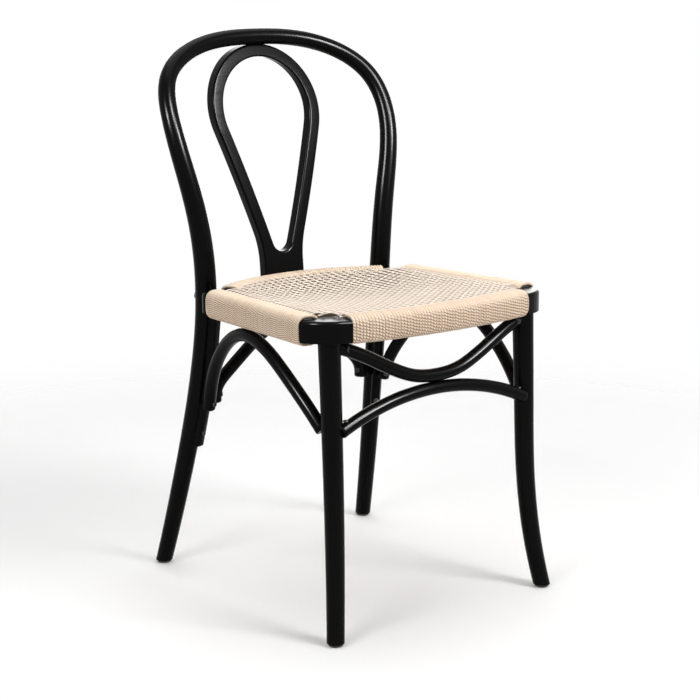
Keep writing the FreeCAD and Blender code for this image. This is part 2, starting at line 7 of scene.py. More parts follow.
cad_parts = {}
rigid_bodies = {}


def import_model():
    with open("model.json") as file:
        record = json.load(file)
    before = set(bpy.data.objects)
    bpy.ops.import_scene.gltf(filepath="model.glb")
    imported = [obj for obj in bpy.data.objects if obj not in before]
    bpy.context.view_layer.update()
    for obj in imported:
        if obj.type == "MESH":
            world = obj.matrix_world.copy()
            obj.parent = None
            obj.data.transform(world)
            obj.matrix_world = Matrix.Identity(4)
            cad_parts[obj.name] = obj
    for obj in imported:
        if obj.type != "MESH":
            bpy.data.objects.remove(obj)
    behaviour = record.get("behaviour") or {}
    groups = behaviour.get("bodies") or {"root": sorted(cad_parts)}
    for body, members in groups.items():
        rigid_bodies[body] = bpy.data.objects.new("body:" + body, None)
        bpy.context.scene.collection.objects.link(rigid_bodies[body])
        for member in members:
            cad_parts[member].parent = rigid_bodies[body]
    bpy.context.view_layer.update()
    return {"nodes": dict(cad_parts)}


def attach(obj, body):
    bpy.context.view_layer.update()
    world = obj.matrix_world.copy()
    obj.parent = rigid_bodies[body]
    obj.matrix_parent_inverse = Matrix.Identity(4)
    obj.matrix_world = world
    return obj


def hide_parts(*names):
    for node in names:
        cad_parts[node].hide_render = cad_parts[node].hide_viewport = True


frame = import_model()
nodes = frame["nodes"]
mm = 0.001
up = Vector((0, 0, 1))
print("frame loaded", len(nodes), "nodes")


# Shader sockets that add and multiply like numbers
class Value:
    def __init__(self, tree, socket):
        self.tree = tree
        self.socket = socket

    def add(self, kind, settings=None, inputs=None, out=0):
        node = self.tree.nodes.new(kind)
        for key, setting in (settings or {}).items():
            setattr(node, key, setting)
        for key, item in (inputs or {}).items():
            if isinstance(item, Value):
                self.tree.links.new(item.socket, node.inputs[key])
            else:
                node.inputs[key].default_value = item
        return Value(self.tree, node.outputs[out])

    def math(self, operation, first, second):
        return self.add("ShaderNodeMath", {"operation": operation}, {0: first, 1: second})

    def __add__(self, other):
        return self.math("ADD", self, other)

    def __radd__(self, other):
        return self.math("ADD", other, self)

    def __mul__(self, other):
        return self.math("MULTIPLY", self, other)

    def __rmul__(self, other):
        return self.math("MULTIPLY", other, self)


def newMaterial(name):
    material = bpy.data.materials.new(name)
    material.use_nodes = True
    tree = material.node_tree
    tree.nodes.clear()
    output = tree.nodes.new("ShaderNodeOutputMaterial")
    shader = tree.nodes.new("ShaderNodeBsdfPrincipled")
    tree.links.new(shader.outputs[0], output.inputs["Surface"])
    return material, shader, Value(tree, None)


def plug(pen, shader, name, item):
    pen.tree.links.new(item.socket, shader.inputs[name])


def mixColour(pen, share, first, second):
    return pen.add("ShaderNodeMix", {"data_type": "RGBA"}, {0: share, 6: first, 7: second}, 2)


def noise(pen, place, scale, detail):
    return pen.add("ShaderNodeTexNoise", {}, {"Vector": place, "Scale": scale, "Detail": detail})


def bump(pen, strength, distance, height):
    return pen.add("ShaderNodeBump", {}, {"Strength": strength, "Distance": distance, "Height": height})


def smoothStep(pen, item, low, high):
    return pen.add("ShaderNodeMapRange", {"interpolation_type": "SMOOTHSTEP"},
                   {"Value": item, "From Min": low, "From Max": high})


# Black lacquer on bent beech: a faint grain under a satin film
lacquer = {"dark": (0.0010, 0.0010, 0.0012, 1), "pale": (0.0024, 0.0023, 0.0023, 1), "rough": 0.17,
           "roughSpread": 0.08, "cloudShare": 0.7, "grainShare": 0.3, "grain": 160.0, "grainDetail": 3.0,
           "stretch": (1.0, 1.0, 0.10), "cloud": 9.0, "cloudDetail": 2.0, "bump": 0.02, "film": 0.00025,
           "gloss": 0.05}


def lacquerMaterial():
    material, shader, pen = newMaterial("blackLacquer")
    place = pen.add("ShaderNodeTexCoord", out=3)
    stretched = pen.add("ShaderNodeMapping", {}, {"Vector": place, "Scale": lacquer["stretch"]})
    grain = noise(pen, stretched, lacquer["grain"], lacquer["grainDetail"])
    cloud = noise(pen, place, lacquer["cloud"], lacquer["cloudDetail"])
    uneven = cloud * lacquer["cloudShare"] + grain * lacquer["grainShare"]
    plug(pen, shader, "Base Color", mixColour(pen, cloud, lacquer["dark"], lacquer["pale"]))
    plug(pen, shader, "Roughness", lacquer["rough"] + lacquer["roughSpread"] * uneven)
    plug(pen, shader, "Normal", bump(pen, lacquer["bump"], lacquer["film"], grain))
    shader.inputs["Specular IOR Level"].default_value = lacquer["gloss"]
    return material


# Twisted paper cord: slanting grooves between the plies with painted shade in them, fibres, a change of
# tone from strand to strand, and painted shade on the sides of each strand that lie against the next cord
# or face into the seat
cord = {"plies": 2, "mark": 4.2 * mm, "drift": 0.30, "ridge": 0.38, "facesUpEase": 0.34, "facesUpSlope": 1.5,
        "facesUpStart": 0.3, "fibre": 1100.0, "cloud": 22.0, "detail": 2.0, "cloudShare": 0.30,
        "fibreShare": 0.25, "toneShare": 0.25, "rough": 0.76, "roughSpread": 0.12, "gloss": 0.04,
        "depth": 0.0007, "fuzz": 0.15, "paintedShade": (0.060, 0.032, 0.017, 1), "smooth": 65.0}
# The groove colours are painted shade in the twist grooves; light and tan are the cord's own tones, mixed
# at random
woundTone = {"light": (0.86, 0.725, 0.59, 1), "tan": (0.72, 0.54, 0.39, 1),
             "grooveShade": (0.17, 0.085, 0.042, 1), "bump": 0.55}
wovenTone = {"light": (0.82, 0.73, 0.64, 1), "tan": (0.66, 0.53, 0.42, 1),
             "grooveShade": (0.60, 0.48, 0.37, 1), "bump": 0.2}


def cordMaterial(name, tones):
    material, shader, pen = newMaterial(name)
    along = pen.add("ShaderNodeUVMap", {"uv_map": "lay"})
    marks = pen.add("ShaderNodeSeparateXYZ", {}, {0: along})
    around = Value(pen.tree, marks.socket.node.outputs[1])
    turn = (around * cord["plies"] + marks) * (2 * math.pi)
    ply = pen.add("ShaderNodeMath", {"operation": "SINE"}, {0: turn}) * 0.5 + 0.5
    # The groove shade and the groove bump narrow where the cord faces upward
    facesUp = pen.add("ShaderNodeAttribute", {"attribute_name": "facesUp"}, out=2)
    crest = smoothStep(pen, ply + facesUp * cord["facesUpEase"], 0.0, cord["ridge"])
    place = pen.add("ShaderNodeTexCoord", out=3)
    fibre = noise(pen, place, cord["fibre"], cord["detail"])
    cloud = noise(pen, place, cord["cloud"], cord["detail"])
    tone = pen.add("ShaderNodeAttribute", {"attribute_name": "tone"}, out=2)
    shade = cloud * cord["cloudShare"] + fibre * cord["fibreShare"] + tone * cord["toneShare"]
    body = mixColour(pen, shade, tones["light"], tones["tan"])
    # Painted shade in the twist grooves
    grooveShaded = mixColour(pen, crest, tones["grooveShade"], body)
    # Painted shade: the deep attribute darkens the cord towards a dark brown where strands press together
    # or face into the seat
    deep = pen.add("ShaderNodeAttribute", {"attribute_name": "deep"}, out=2)
    plug(pen, shader, "Base Color", mixColour(pen, deep, grooveShaded, cord["paintedShade"]))
    plug(pen, shader, "Roughness", cord["rough"] + cord["roughSpread"] * fibre)
    plug(pen, shader, "Normal", bump(pen, tones["bump"], cord["depth"], crest + fibre * cord["fuzz"]))
    shader.inputs["Specular IOR Level"].default_value = cord["gloss"]
    return material


# Plain finishes with one noise: rails stained black under the cord, blackened screws and plastic glides
railLook = {"first": (0.012, 0.010, 0.009, 1), "second": (0.004, 0.0035, 0.003, 1), "scale": 60.0,
            "detail": 4.0, "rough": 0.55, "roughSpread": 0.2, "metal": 0.0}
screwLook = {"first": (0.012, 0.012, 0.013, 1), "second": (0.06, 0.06, 0.062, 1), "scale": 500.0,
             "detail": 3.0, "rough": 0.25, "roughSpread": 0.2, "metal": 0.8}
glideLook = {"first": (0.010, 0.010, 0.010, 1), "second": (0.035, 0.034, 0.033, 1), "scale": 240.0,
             "detail": 4.0, "rough": 0.45, "roughSpread": 0.25, "metal": 0.0}


def plainMaterial(name, look):
    material, shader, pen = newMaterial(name)
    place = pen.add("ShaderNodeTexCoord", out=3)
    speck = noise(pen, place, look["scale"], look["detail"])
    plug(pen, shader, "Base Color", mixColour(pen, speck, look["first"], look["second"]))
    plug(pen, shader, "Roughness", look["rough"] + look["roughSpread"] * speck)
    shader.inputs["Metallic"].default_value = look["metal"]
    return material


blackLacquer = lacquerMaterial()
woundCord = cordMaterial("woundCord", woundTone)
wovenCord = cordMaterial("wovenCord", wovenTone)
railWood = plainMaterial("railWood", railLook)
blackScrews = plainMaterial("blackScrews", screwLook)
glidePlastic = plainMaterial("glidePlastic", glideLook)
print("finishes made")


# Selecting, merging and handing over pieces
weld = 0.00001


def clearSelection():
    if bpy.context.object and bpy.context.object.mode != "OBJECT":
        bpy.ops.object.mode_set(mode="OBJECT")
    bpy.ops.object.select_all(action="DESELECT")


def pick(thing):
    clearSelection()
    thing.select_set(True)
    bpy.context.view_layer.objects.active = thing


def editAll(thing):
    pick(thing)
    bpy.ops.object.mode_set(mode="EDIT")
    bpy.ops.mesh.select_all(action="SELECT")


def modify(thing, kind, settings):
    modifier = thing.modifiers.new(kind.lower(), kind)
    for key, setting in settings.items():
        setattr(modifier, key, setting)
    bpy.ops.object.modifier_apply(modifier=modifier.name)


def closeUp(thing, smoothAngle, weighted=False):
    editAll(thing)
    bpy.ops.mesh.remove_doubles(threshold=weld)
    bpy.ops.mesh.normals_make_consistent(inside=False)
    bpy.ops.object.mode_set(mode="OBJECT")
    bpy.ops.object.shade_smooth_by_angle(angle=math.radians(smoothAngle))
    if weighted:
        modify(thing, "WEIGHTED_NORMAL", {"keep_sharp": True})


def joined(things):
    clearSelection()
    for thing in things:
        thing.select_set(True)
    bpy.context.view_layer.objects.active = things[0]
    bpy.ops.object.join()
    return bpy.context.object


def dress(thing, material):
    thing.data.materials.clear()
    thing.data.materials.append(material)


def finishPiece(thing, material, slot, *replaced):
    dress(thing, material)
    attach(thing, "root")
    if replaced:
        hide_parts(*replaced)


def lacquered(thing, *replaced):
    finishPiece(thing, blackLacquer, "black_lacquer", *replaced)
    print("made", thing.name, len(thing.data.polygons), "faces")


def smoothCopy(node, name, smoothAngle):
    pick(nodes[node])
    bpy.ops.object.duplicate()
    copy = bpy.context.object
    copy.name = name
    bpy.ops.object.parent_clear(type="CLEAR_KEEP_TRANSFORM")
    bpy.ops.mesh.customdata_custom_splitnormals_clear()
    editAll(copy)
    bpy.ops.mesh.remove_doubles(threshold=weld)
    bpy.ops.object.mode_set(mode="OBJECT")
    bpy.ops.object.shade_smooth_by_angle(angle=math.radians(smoothAngle))
    modify(copy, "WEIGHTED_NORMAL", {"keep_sharp": True})
    return copy


# The chair is set out in millimetres from the floor, from these heights and widths
chair = {"depthMiddle": 19.53, "ringUnder": 430.0, "frontHalf": 164.5, "glide": 4.5}
rodLook = {"sides": 14, "steps": 14, "reach": 1.5, "shrink": 2.4, "smooth": 50.0, "sweeps": 40}


def spot(x, y, z):
    return Vector((x, y - chair["depthMiddle"], z)) * mm


def aboveRing(x, y, z):
    return spot(x, y, chair["ringUnder"] + z)


def fromFront(x, y, z):
    return aboveRing(chair["frontHalf"] + x, y, z)


def otherSide(place):
    return Vector((-place.x, place.y, place.z))


def bothSides(half):
    return half + [otherSide(p) for p in reversed(half[:-1])]


def splineSlopes(points):
    runs = [b - a for a, b in zip(points, points[1:])]
    spans = [run.length for run in runs]
    rates = [run / span for run, span in zip(runs, spans)]
    slopes = [rates[0]] + [(a + b) / 2 for a, b in zip(rates, rates[1:])] + [rates[-1]]
    slopes[0] = rates[0] - (rates[1] - rates[0]) * (spans[0] / (spans[0] + spans[1]))
    slopes[-1] = rates[-1] + (rates[-1] - rates[-2]) * (spans[-1] / (spans[-1] + spans[-2]))
    for sweep in range(rodLook["sweeps"]):
        for i in range(1, len(points) - 1):
            before, after = spans[i - 1], spans[i]
            pull = (rates[i - 1] * after + rates[i] * before) * 3
            known = slopes[i - 1] * after + slopes[i + 1] * before
            slopes[i] = (pull - known) / (2 * (before + after))
    return slopes, spans


def bentRod(name, points, dias, reach, shrink):
    slopes, spans = splineSlopes(points)
    points = [points[0] - slopes[0] * reach * mm] + points + [points[-1] + slopes[-1] * reach * mm]
    slopes = [slopes[0]] + slopes + [slopes[-1]]
    spans = [reach * mm] + spans + [reach * mm]
    dias = [dias[0] - shrink] + dias + [dias[-1] - shrink]
    clearSelection()
    bpy.ops.curve.primitive_bezier_curve_add()
    thing = bpy.context.object
    thing.name = name
    curve = thing.data
    knots = curve.splines[0].bezier_points
    knots.add(len(points) - len(knots))
    for i, knot in enumerate(knots):
        knot.handle_left_type = "FREE"
        knot.handle_right_type = "FREE"
        knot.co = points[i]
        knot.handle_left = points[i] - slopes[i] * spans[max(i - 1, 0)] / 3
        knot.handle_right = points[i] + slopes[i] * spans[min(i, len(spans) - 1)] / 3
        knot.radius = dias[i] / 2
    curve.bevel_depth = mm
    curve.bevel_resolution = rodLook["sides"]
    curve.resolution_u = rodLook["steps"]
    curve.use_fill_caps = True
    bpy.ops.object.convert(target="MESH")
    thing = bpy.context.object
    closeUp(thing, rodLook["smooth"])
    return thing


def braceRod(name, points, dia):
    return bentRod(name, points, [dia] * len(points), rodLook["reach"], rodLook["shrink"])


def cutLevel(thing, height):
    editAll(thing)
    bpy.ops.mesh.bisect(plane_co=(0, 0, height * mm), plane_no=(0, 0, 1), use_fill=True, clear_inner=True)
    bpy.ops.object.mode_set(mode="OBJECT")
    closeUp(thing, rodLook["smooth"])


def mirrorCopy(thing, name):
    pick(thing)
    bpy.ops.object.duplicate()
    copy = bpy.context.object
    copy.name = name
    bpy.ops.transform.mirror(orient_type="GLOBAL", constraint_axis=(True, False, False))
    bpy.ops.object.transform_apply(location=True, rotation=True, scale=True)
    closeUp(copy, rodLook["smooth"])
    return copy


# Back hoop: one bent rod from foot to foot, cut level over the glides
hoop = {"foot": (202.3, 234.3),
        "rise": [(187.0, 197.8, -280.0), (171.5, 161.8, -100.0), (169.4, 148.2, 25.0),
                 (182.6, 152.6, 147.0), (204.8, 181.6, 281.0), (192.0, 209.0, 334.0),
                 (123.0, 241.5, 381.0), (0.0, 254.8, 396.0)],
        "dias": [25.8, 28.6, 31.6, 33.0, 31.0, 27.0, 26.4, 25.8, 25.6], "reach": 8.0}
hoopHalf = [spot(*hoop["foot"], chair["glide"])] + [aboveRing(*p) for p in hoop["rise"]]
hoopDias = hoop["dias"] + hoop["dias"][-2::-1]
backHoop = bentRod("backHoop", bothSides(hoopHalf), hoopDias, hoop["reach"], 0.0)
cutLevel(backHoop, chair["glide"])
lacquered(backHoop, "back_hoop")

# Front legs, let into the corner blocks at the top
leg = {"foot": (34.7, -217.7), "head": (17.5, -181.2, -0.3),
       "rise": [(23.8, -202.7, -340.0), (18.3, -193.3, -250.0), (17.3, -187.3, -130.0)],
       "dias": [25.6, 27.2, 28.6, 30.2, 32.0], "reach": 8.0}
legFoot = spot(chair["frontHalf"] + leg["foot"][0], leg["foot"][1], chair["glide"])
legLine = [legFoot] + [fromFront(*p) for p in leg["rise"]] + [fromFront(*leg["head"])]
rightLeg = bentRod("rightLeg", legLine, leg["dias"], leg["reach"], 0.0)
cutLevel(rightLeg, chair["glide"])
leftLeg = mirrorCopy(rightLeg, "leftLeg")
lacquered(rightLeg, "front_right_leg")
lacquered(leftLeg, "front_left_leg")

# Front braces: an arch with an upturned bow resting on it
front = {"dia": 19.2, "deep": -196.0, "archDrop": 89.6, "archRadius": 399.0, "archPast": 7.5,
         "archSteps": 8, "bowSetBack": 11.0, "reach": 7.0,
         "bowRise": [(1.003, 58.6), (0.79, 44.4), (0.608, 29.2), (0.438, 15.6), (0.2675, 5.0), (0.0, 0.0)]}
archTurn = math.asin((chair["frontHalf"] + front["archPast"]) / front["archRadius"])
archLine = []
for i in range(front["archSteps"] + 1):
    a = archTurn * (2 * i / front["archSteps"] - 1)
    drop = front["archDrop"] + front["archRadius"] * (1 - math.cos(a))
    archLine.append(aboveRing(front["archRadius"] * math.sin(a), front["deep"], -drop))
frontArch = braceRod("frontArch", archLine, front["dia"])
lacquered(frontArch, "front_lower_brace")
bowHalf = []
bowLow = front["dia"] - front["archDrop"]
for share, rise in front["bowRise"]:
    setBack = front["bowSetBack"] * (share / front["bowRise"][0][0]) ** 2
    bowHalf.append(aboveRing(share * chair["frontHalf"], front["deep"] + setBack, bowLow + rise))
bowLine = bothSides(bowHalf)
frontBow = bentRod("frontBow", bowLine, [front["dia"]] * len(bowLine), front["reach"], 0.0)
lacquered(frontBow, "front_upper_brace")

# Side braces from the front legs to the rear legs
side = {"dia": 19.8, "nose": (22.5, -171.0, -128.0),
        "rise": [(172.0, 141.0, -161.5), (175.5, 129.5, -128.0), (182.0, 107.5, -92.0),
                 (190.5, 62.7, -46.0), (196.0, 12.0, -21.4), (199.4, -48.0, -29.0), (198.0, -104.0, -63.5)]}
sideLine = [aboveRing(*p) for p in side["rise"]] + [fromFront(*side["nose"])]
rightBrace = braceRod("rightBrace", sideLine, side["dia"])
leftBrace = mirrorCopy(rightBrace, "leftBrace")
lacquered(rightBrace, "right_side_brace")
lacquered(leftBrace, "left_side_brace")

# Rear brace between the rear legs, with a flat ear at each end against the leg
rear = {"dia": 19.8, "deep": 166.5, "earHigh": 30.0, "earWide": 16.0, "earEnd": 168.0, "earRound": 2.0,
        "earSteps": 3, "rise": [(143.5, -159.5), (141.0, -140.0), (118.0, -114.0), (75.0, -78.5),
                                (37.0, -53.5), (0.0, -43.0)]}
rearLine = bothSides([aboveRing(x, rear["deep"], z) for x, z in rear["rise"]])
rearRod = braceRod("rearBrace", rearLine, rear["dia"])


def rearEar(hand):
    low, high = rear["rise"][0][0], rear["earEnd"]
    middle = aboveRing(hand * (low + high) / 2, rear["deep"], rear["rise"][0][1] + rear["earHigh"] / 2)
    clearSelection()
    bpy.ops.mesh.primitive_cube_add(size=1.0, location=middle)
    ear = bpy.context.object
    ear.scale = ((high - low) * mm, rear["earWide"] * mm, rear["earHigh"] * mm)
    bpy.ops.object.transform_apply(location=True, rotation=True, scale=True)
    modify(ear, "BEVEL", {"width": rear["earRound"] * mm, "segments": rear["earSteps"]})
    return ear


rearBrace = joined([rearRod, rearEar(1), rearEar(-1)])
closeUp(rearBrace, rodLook["smooth"])
lacquered(rearBrace, "rear_brace")

# Inner back loop: a flat teardrop with eased edges, bowed backwards
loop = {"radius": 91.5, "centre": 713.0, "spread": 18.0, "width": 20.0, "thick": 19.0, "edge": 3.4,
        "edgeSteps": 3, "crotch": 18.9, "tongueHalf": 37.5, "sweep": 150.0, "foot": 437.0,
        "lean": ((183.0, 425.0), (209.2, 620.0), (266.5, 830.0)), "arcStep": 3.0, "slice": 9.0,
        "smooth": 35.0}


def arc(centre, radius, start, end):
    steps = max(2, round(abs(end - start) / loop["arcStep"]))
    turns = [math.radians(start + (end - start) * i / steps) for i in range(steps + 1)]
    return [(centre[0] + radius * math.cos(a), centre[1] + radius * math.sin(a)) for a in turns]


def wholeOutline(half):
    return half + [(-x, z) for x, z in reversed(half) if x > 0.001]


def loopOutlines():
    spread = math.radians(loop["spread"])
    outward = Vector((math.cos(spread), -math.sin(spread)))
    downward = Vector((-math.sin(spread), -math.cos(spread)))
    crown = Vector((0.0, loop["centre"]))
    outerJoint = crown + outward * (loop["radius"] + loop["width"] / 2)
    innerJoint = crown + outward * (loop["radius"] - loop["width"] / 2)
    knee = outerJoint + downward * ((outerJoint.x - loop["tongueHalf"]) / math.sin(spread))
    sweepCentre = (loop["tongueHalf"] + loop["sweep"], knee.y - loop["sweep"] * math.tan(spread / 2))
    point = innerJoint.y - innerJoint.x / math.tan(spread)
    crotchCentre = (0.0, point + loop["crotch"] / math.sin(spread))
    low = -loop["spread"]
    outer = arc(crown, loop["radius"] + loop["width"] / 2, 90, low)
    outer += arc(sweepCentre, loop["sweep"], 180 + low, 180) + [(loop["tongueHalf"], loop["foot"])]
    inner = arc(crown, loop["radius"] - loop["width"] / 2, 90, low)
    inner += arc(crotchCentre, loop["crotch"], low, -90)
    return wholeOutline(outer), wholeOutline(inner)


def leanCircle():
    (y1, z1), (y2, z2), (y3, z3) = loop["lean"]
    a1, b1, c1 = 2 * (y2 - y1), 2 * (z2 - z1), y2 ** 2 + z2 ** 2 - y1 ** 2 - z1 ** 2
    a2, b2, c2 = 2 * (y3 - y1), 2 * (z3 - z1), y3 ** 2 + z3 ** 2 - y1 ** 2 - z1 ** 2
    share = a1 * b2 - a2 * b1
    centre = ((c1 * b2 - c2 * b1) / share, (a1 * c2 - a2 * c1) / share)
    return centre, math.dist(centre, (y1, z1))


def loopPiece():
    clearSelection()
    bpy.ops.curve.primitive_bezier_curve_add()
    thing = bpy.context.object
    thing.name = "backLoop"
    curve = thing.data
    curve.splines.clear()
    curve.dimensions = "2D"
    for outline in loopOutlines():
        line = curve.splines.new("POLY")
        line.points.add(len(outline) - 1)
        for knot, (x, z) in zip(line.points, outline):
            knot.co = (x * mm, z * mm, 0, 1)
        line.use_cyclic_u = True
    curve.fill_mode = "BOTH"
    curve.extrude = (loop["thick"] / 2 - loop["edge"]) * mm
    curve.bevel_depth = loop["edge"] * mm
    curve.bevel_resolution = loop["edgeSteps"]
    curve.offset = -loop["edge"] * mm
    bpy.ops.object.convert(target="MESH")
    thing = bpy.context.object
    editAll(thing)
    bpy.ops.mesh.remove_doubles(threshold=weld)
    top = loop["centre"] + loop["radius"] + loop["width"] / 2
    for i in range(1, int((top - loop["foot"]) / loop["slice"])):
        bpy.ops.mesh.select_all(action="SELECT")
        bpy.ops.mesh.bisect(plane_co=(0, (loop["foot"] + i * loop["slice"]) * mm, 0), plane_no=(0, 1, 0))
    bpy.ops.object.mode_set(mode="OBJECT")
    (middleY, middleZ), radius = leanCircle()
    for vertex in thing.data.vertices:
        x, z, w = vertex.co / mm
        y = middleY - math.sqrt((radius - w) ** 2 - (z - middleZ) ** 2)
        vertex.co = spot(x, y, z)
    closeUp(thing, loop["smooth"], True)
    return thing


backLoop = loopPiece()
lacquered(backLoop, "back_loop")

# Corner blocks and battens
flatWood = {"front_right_block": "frontRightCorner", "front_left_block": "frontLeftCorner",
            "rear_right_block": "rearRightCorner", "rear_left_block": "rearLeftCorner",
            "right_leg_batten": "rightBatten", "left_leg_batten": "leftBatten"}
flatPieces = {}
for node, name in flatWood.items():
    flatPieces[name] = smoothCopy(node, name, rodLook["smooth"])
    lacquered(flatPieces[name], node)
for node in ("seat_front_rail", "seat_rear_rail", "seat_right_rail", "seat_left_rail"):
    dress(nodes[node], railWood)
dress(nodes["foot_glides"], glidePlastic)
print("wood done")

# Screw and bolt heads with hexagonal sockets, seated on the wood that they hold
screw = {"dia": 8.4, "high": 1.2, "sunk": 0.8, "flush": 1.15, "round": 0.5, "roundSteps": 3, "sides": 24,
         "socket": 4.2, "deep": 0.9, "away": 60.0, "besideBore": 8.0, "smooth": 30.0, "boltSize": 1.45}


def screwHead(scale):
    clearSelection()
    high = (screw["high"] + screw["sunk"]) * mm
    wide = screw["dia"] / 2 * mm * scale
    bpy.ops.mesh.primitive_cylinder_add(vertices=screw["sides"], radius=wide, depth=high)
    head = bpy.context.object
    head.location.z = (screw["high"] - screw["sunk"]) / 2 * mm
    bpy.ops.object.transform_apply(location=True, rotation=True, scale=True)
    modify(head, "BEVEL", {"width": screw["round"] * mm, "segments": screw["roundSteps"],
                           "limit_method": "ANGLE"})
    clearSelection()
    across = screw["socket"] / 2 * mm * scale
    bpy.ops.mesh.primitive_cylinder_add(vertices=6, radius=across, depth=2 * screw["deep"] * mm,
                                        location=(0, 0, screw["high"] * mm))
    cutter = bpy.context.object
    pick(head)
    modify(head, "BOOLEAN", {"object": cutter})
    pick(cutter)
    bpy.ops.object.delete()
    return head


def seatHeads(name, node, seats, scale, sink=0.0):
    head = screwHead(scale)
    heads = []
    for carrier, place, way, beside in seats:
        way = way.normalized()
        start = place - way * screw["away"] * mm
        found = [carrier.ray_cast(start + up * beside * hand * mm, way) for hand in (1, -1)]
        where = (found[0][1] + found[1][1]) / 2
        pick(head)
        bpy.ops.object.duplicate()
        copy = bpy.context.object
        turn = (-way).to_track_quat("Z", "Y").to_matrix().to_4x4()
        copy.data.transform(Matrix.Translation(where + way * sink * mm) @ turn)
        heads.append(copy)
        print(name, "seat found", found[0][0] and found[1][0])
    pick(head)
    bpy.ops.object.delete()
    piece = joined(heads)
    piece.name = name
    closeUp(piece, screw["smooth"])
    finishPiece(piece, blackScrews, "black_screws", node)


def handed(pieces, place, way, beside=0.0):
    right, left = pieces
    return [(right, place, Vector(way), beside), (left, otherSide(place), otherSide(Vector(way)), beside)]


braceSeats = handed((frontBow, frontBow), fromFront(2.5, -185.4, -12.4), (0.6, 0.8, 0.0))
braceSeats += handed((frontArch, frontArch), fromFront(-1.0, -194.0, -122.0), (0.0, 0.1, -1.0))
braceSeats += handed((rightBrace, leftBrace), aboveRing(172.0, 139.0, -154.0), (0.3, 0.95, 0.0))
braceSeats += handed((rearBrace, rearBrace), aboveRing(142.0, 166.5, -149.0), (0.9, 0.44, 0.0))
battens = (flatPieces["rightBatten"], flatPieces["leftBatten"])
braceSeats += handed(battens, aboveRing(171.2, 159.6, -206.0), (0.375, 0.927, 0.0), screw["besideBore"])
seatHeads("braceScrewHeads", "brace_screws", braceSeats, 1.0)
boltSeats = handed((backHoop, backHoop), aboveRing(169.6, 149.3, 13.0), (-0.42, -0.91, 0.0))
seatHeads("seatBoltHeads", "seat_bolts", boltSeats, screw["boltSize"])
loopSeats = handed((backLoop, backLoop), aboveRing(17.0, 192.0, 17.0), (0.0, -1.0, 0.0))
loopSeats.append((backLoop, aboveRing(0.0, 254.0, 364.0), up, 0.0))
seatHeads("loopScrewHeads", "loop_screws", loopSeats, 1.0, screw["flush"])
print("screws done")

# Woven seat: sizes in millimetres, drawn level and then tipped back with the seat ring
seat = {"tilt": 0.9, "pivot": (0.0, -200.0, 430.0), "wrapMid": 446.2, "sideMid": 445.4,
        "frontApex": -231.5, "frontRadius": 785.0, "rearApex": 175.0, "rearRadius": 300.0,
        "rearHalf": 148.0, "rearTurnHalf": 158.0, "sideFront": (222.5, -150.0), "sideRear": (203.5, 110.0),
        "sideStart": -163.0, "sideEnd": 97.0, "wrapWidth": 38.0, "wrapHeight": 41.0, "sideHeight": 44.0,
        "bevel": 14.0, "seed": 7}
pivot = Vector(seat["pivot"])
tipped = (Matrix.Scale(mm, 4) @ Matrix.Translation(pivot - Vector((0, chair["depthMiddle"], 0)))
          @ Matrix.Rotation(math.radians(-seat["tilt"]), 4, "X") @ Matrix.Translation(-pivot))
draw = random.Random(seat["seed"])


def within(value):
    return min(1.0, max(0.0, value))


def wayAlong(path, i, closed):
    if closed:
        return (path[(i + 1) % len(path)] - path[i - 1]).normalized()
    return (path[min(i + 1, len(path) - 1)] - path[max(i - 1, 0)]).normalized()


def marksAlong(path, closed, number, size):
    gone = [0.0]
    for a, b in zip(path, path[1:] + path[:1]):
        gone.append(gone[-1] + (b - a).length * mm)
    whole = gone[-1] if closed else gone[-2]
    count = max(1, round(whole / cord["mark"] * size["twist"]))
    start = number * cord["drift"] + draw.random() * size["scatter"]
    return [start + count * g / whole for g in gone]


def cordMesh(name, paths, size, centres=None):
    closed = centres is not None
    sides = size["sides"]
    wide = size["dia"] / 2
    high = wide * size["flat"]
    points = []
    faces = []
    corners = []
    tones = []
    shadeShares = []
    facesUpEase = []
    for number, path in enumerate(paths):
        start = len(points)
        count = len(path)
        marks = marksAlong(path, closed, number, size)
        tone = draw.random()
        for i, middle in enumerate(path):
            way = wayAlong(path, i, closed)
            across = way.cross(middle - centres[number] if closed else up).normalized()
            outward = across.cross(way)
            for k in range(sides):
                a = 2 * math.pi * k / sides
                points.append(middle + across * (wide * math.sin(a)) + outward * (high * math.cos(a)))
                tones.append(tone)
                # Share by which the grooves narrow, rising as the cord turns to face upward
                facesUpEase.append(within(cord["facesUpSlope"] * outward.z - cord["facesUpStart"]))
                # Painted shade: each ring point's share of the dark shade colour, on the side of the cord
                # chosen through edge and facing
                shadeShares.append(size["deep"] * within(size["edge"] - size["facing"] * math.cos(a)))
        for i in range(count if closed else count - 1):
            j = (i + 1) % count
            for k in range(sides):
                n = (k + 1) % sides
                here = start + i * sides
                there = start + j * sides
                faces.append([here + k, there + k, there + n, here + n])
                corners += [(marks[i], k / sides), (marks[i + 1], k / sides)]
                corners += [(marks[i + 1], (k + 1) / sides), (marks[i], (k + 1) / sides)]
        if not closed:
            faces.append([start + k for k in range(sides)])
            faces.append([start + (count - 1) * sides + k for k in reversed(range(sides))])
            corners += [(0.25, 0.0)] * (2 * sides)
    mesh = bpy.data.meshes.new(name)
    mesh.from_pydata([tipped @ p for p in points], [], faces)
    layer = mesh.uv_layers.new(name="lay")
    for loopCorner, corner in zip(layer.data, corners):
        loopCorner.uv = corner
    for attribute, values in (("tone", tones), ("deep", shadeShares), ("facesUp", facesUpEase)):
        mesh.attributes.new(attribute, "FLOAT", "POINT").data.foreach_set("value", values)
    thing = bpy.data.objects.new(name, mesh)
    bpy.context.scene.collection.objects.link(thing)
    editAll(thing)
    bpy.ops.mesh.normals_make_consistent(inside=False)
    bpy.ops.object.mode_set(mode="OBJECT")
    bpy.ops.object.shade_smooth_by_angle(angle=math.radians(cord["smooth"]))
    return thing
